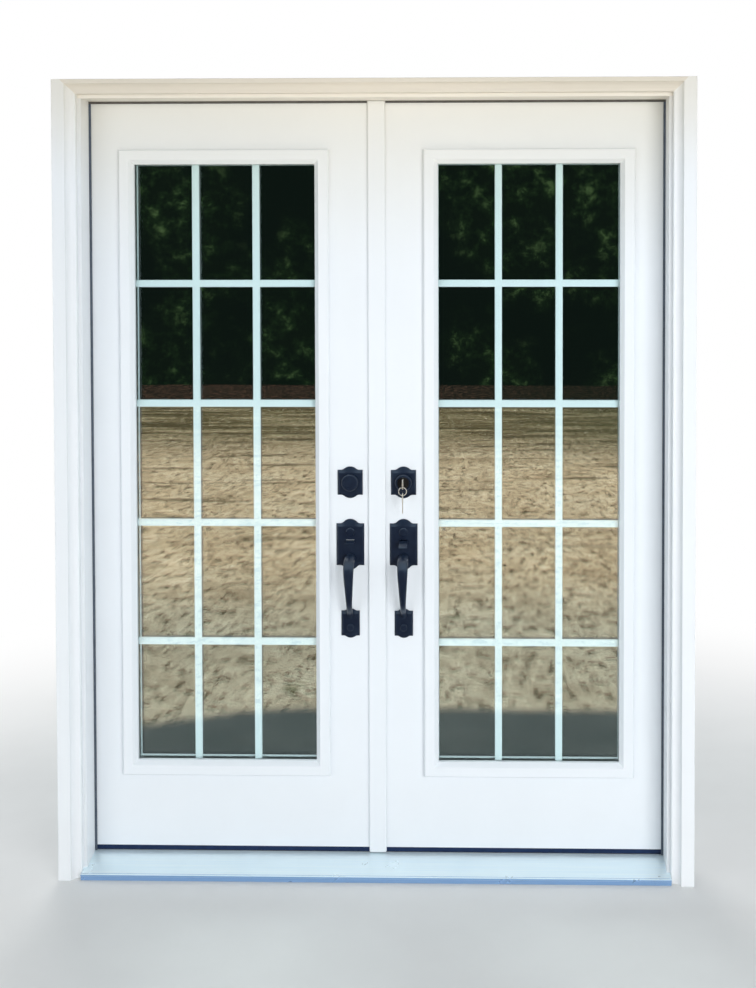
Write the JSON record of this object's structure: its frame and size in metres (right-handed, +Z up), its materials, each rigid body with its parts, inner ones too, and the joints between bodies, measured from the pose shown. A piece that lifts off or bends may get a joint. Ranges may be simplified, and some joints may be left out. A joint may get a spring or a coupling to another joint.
{
  "type": "french doors",
  "caption": "Hinged glazed double doors in a jamb and brick-mould frame with sill, astragal, handlesets, lock and hanging keys; both leaves open inwards.",
  "frame": {"origin": "middle of the width, on the underside of the sill, in the plane of the jambs' outdoor edges", "axes": "+X to the right seen from outdoors, +Y indoors, +Z up"},
  "size_m": [1.6638, 0.2025, 2.0954],
  "materials": {
    "frame_paint": "satin white paint",
    "mould_paint": "satin white paint",
    "weatherstrip": "dark brown foam-filled strip",
    "sill_metal": "mill finish",
    "sill_substrate": "composite",
    "cap": "composite",
    "hinge_metal": "satin",
    "leaf_paint": "satin white paint",
    "lite_plastic": "white",
    "seal": "white",
    "glass": "clear float glass",
    "spacer": "mill finish",
    "grille": "white",
    "black_metal": "black powder coat",
    "lock_metal": "satin",
    "key_metal": "nickel plate"
  },
  "bodies": {
    "frame": {"side_jamb_left": "frame_paint", "side_jamb_right": "frame_paint", "head_jamb": "frame_paint", "brick_mould_left": "mould_paint", "brick_mould_right": "mould_paint", "brick_mould_head": "mould_paint", "weatherstrip_left": "weatherstrip", "weatherstrip_right": "weatherstrip", "weatherstrip_head": "weatherstrip", "sill_base": "sill_substrate", "sill_deck": "sill_metal", "threshold_cap": "cap", "flush_bolt_strikes": "hinge_metal", "jamb_hinge_plates": "hinge_metal", "jamb_hinge_screws": "hinge_metal", "hinge_pins": "hinge_metal"},
    "left_leaf": {"left_slab": "leaf_paint", "left_lite_frame_outdoor": "lite_plastic", "left_lite_frame_indoor": "lite_plastic", "left_panes": "glass", "left_spacer": "spacer", "left_grille": "grille", "left_sweep": "weatherstrip", "left_hinge_plates": "hinge_metal", "left_hinge_screws": "hinge_metal", "left_deadbolt_plate": "black_metal", "left_handle_plate": "black_metal", "left_grip": "black_metal", "left_indoor_rose": "black_metal", "left_indoor_lever": "black_metal", "fixed_thumb_piece": "black_metal", "astragal": "leaf_paint", "astragal_seal": "seal", "astragal_strikes": "hinge_metal"},
    "right_leaf": {"right_slab": "leaf_paint", "right_lite_frame_outdoor": "lite_plastic", "right_lite_frame_indoor": "lite_plastic", "right_panes": "glass", "right_spacer": "spacer", "right_grille": "grille", "right_sweep": "weatherstrip", "right_hinge_plates": "hinge_metal", "right_hinge_screws": "hinge_metal", "right_deadbolt_plate": "black_metal", "right_handle_plate": "black_metal", "right_grip": "black_metal", "right_indoor_roses": "black_metal", "lock_cylinder": "lock_metal", "bolt_cases": "hinge_metal"},
    "lock_turn": {"lock_plug": "lock_metal", "key": "key_metal"},
    "ring": {"key_ring": "key_metal"},
    "second_key": {"spare_key": "key_metal"},
    "thumb_piece": {"thumb_lever": "black_metal"},
    "lever": {"right_indoor_lever": "black_metal"},
    "turn": {"thumbturn": "black_metal"},
    "latch": {"latch_bolt": "hinge_metal"},
    "bolt": {"deadbolt": "hinge_metal"},
    "top_bolt": {"flush_bolt_top": "hinge_metal"},
    "bottom_bolt": {"flush_bolt_bottom": "hinge_metal"}
  },
  "joints": [
    {"name": "right_leaf_swing", "type": "hinge", "parent": "frame", "child": "right_leaf", "pos_m": [0.7745, 0.123, 1], "axis": [0, 0, -1], "range_deg": [0, 170]},
    {"name": "left_leaf_swing", "type": "hinge", "parent": "frame", "child": "left_leaf", "pos_m": [-0.7745, 0.123, 1], "axis": [0, 0, 1], "range_deg": [0, 153]},
    {"name": "key_turn", "type": "hinge", "parent": "right_leaf", "child": "lock_turn", "pos_m": [0.0713, 0.06, 1.036], "axis": [0, 1, 0], "range_deg": [0, 90]},
    {"name": "thumbturn_turn", "type": "hinge", "parent": "right_leaf", "child": "turn", "pos_m": [0.0713, 0.12, 1.036], "axis": [0, 1, 0], "range_deg": [0, 90]},
    {"name": "deadbolt_throw", "type": "slide", "parent": "right_leaf", "child": "bolt", "axis": [-1, 0, 0], "range_m": [0, 0.0254]},
    {"name": "latch_slide", "type": "slide", "parent": "right_leaf", "child": "latch", "axis": [-1, 0, 0], "range_m": [0, 0.0127]},
    {"name": "thumb_press", "type": "hinge", "parent": "right_leaf", "child": "thumb_piece", "pos_m": [0.0713, 0.0685, 0.879], "axis": [1, 0, 0], "range_deg": [0, 14], "stiffness_Nm_per_rad": 0.3, "springref_deg": -17.19},
    {"name": "inner_lever_turn", "type": "hinge", "parent": "right_leaf", "child": "lever", "pos_m": [0.0713, 0.12, 0.8963], "axis": [0, 1, 0], "range_deg": [0, 45], "stiffness_Nm_per_rad": 1, "springref_deg": -28.65},
    {"name": "top_bolt_slide", "type": "slide", "parent": "left_leaf", "child": "top_bolt", "axis": [0, 0, 1], "range_m": [0, 0.016]},
    {"name": "bottom_bolt_slide", "type": "slide", "parent": "left_leaf", "child": "bottom_bolt", "axis": [0, 0, -1], "range_m": [0, 0.016]},
    {"name": "ring_swing", "type": "hinge", "parent": "lock_turn", "child": "ring", "pos_m": [0.0713, 0.0315, 1.02815], "axis": [1, 0, 0], "range_deg": [-40, 8]},
    {"name": "second_key_swing", "type": "hinge", "parent": "ring", "child": "second_key", "pos_m": [0.0713, 0.0315, 1.00715], "axis": [1, 0, 0], "range_deg": [-15, 8]}
  ],
  "couplings": [
    {"joint": "left_leaf_swing", "follows": "right_leaf_swing", "ratio": 0.9},
    {"joint": "thumbturn_turn", "follows": "key_turn", "ratio": 1},
    {"joint": "deadbolt_throw", "follows": "key_turn", "m_per_rad": 0.01617}
  ]
}
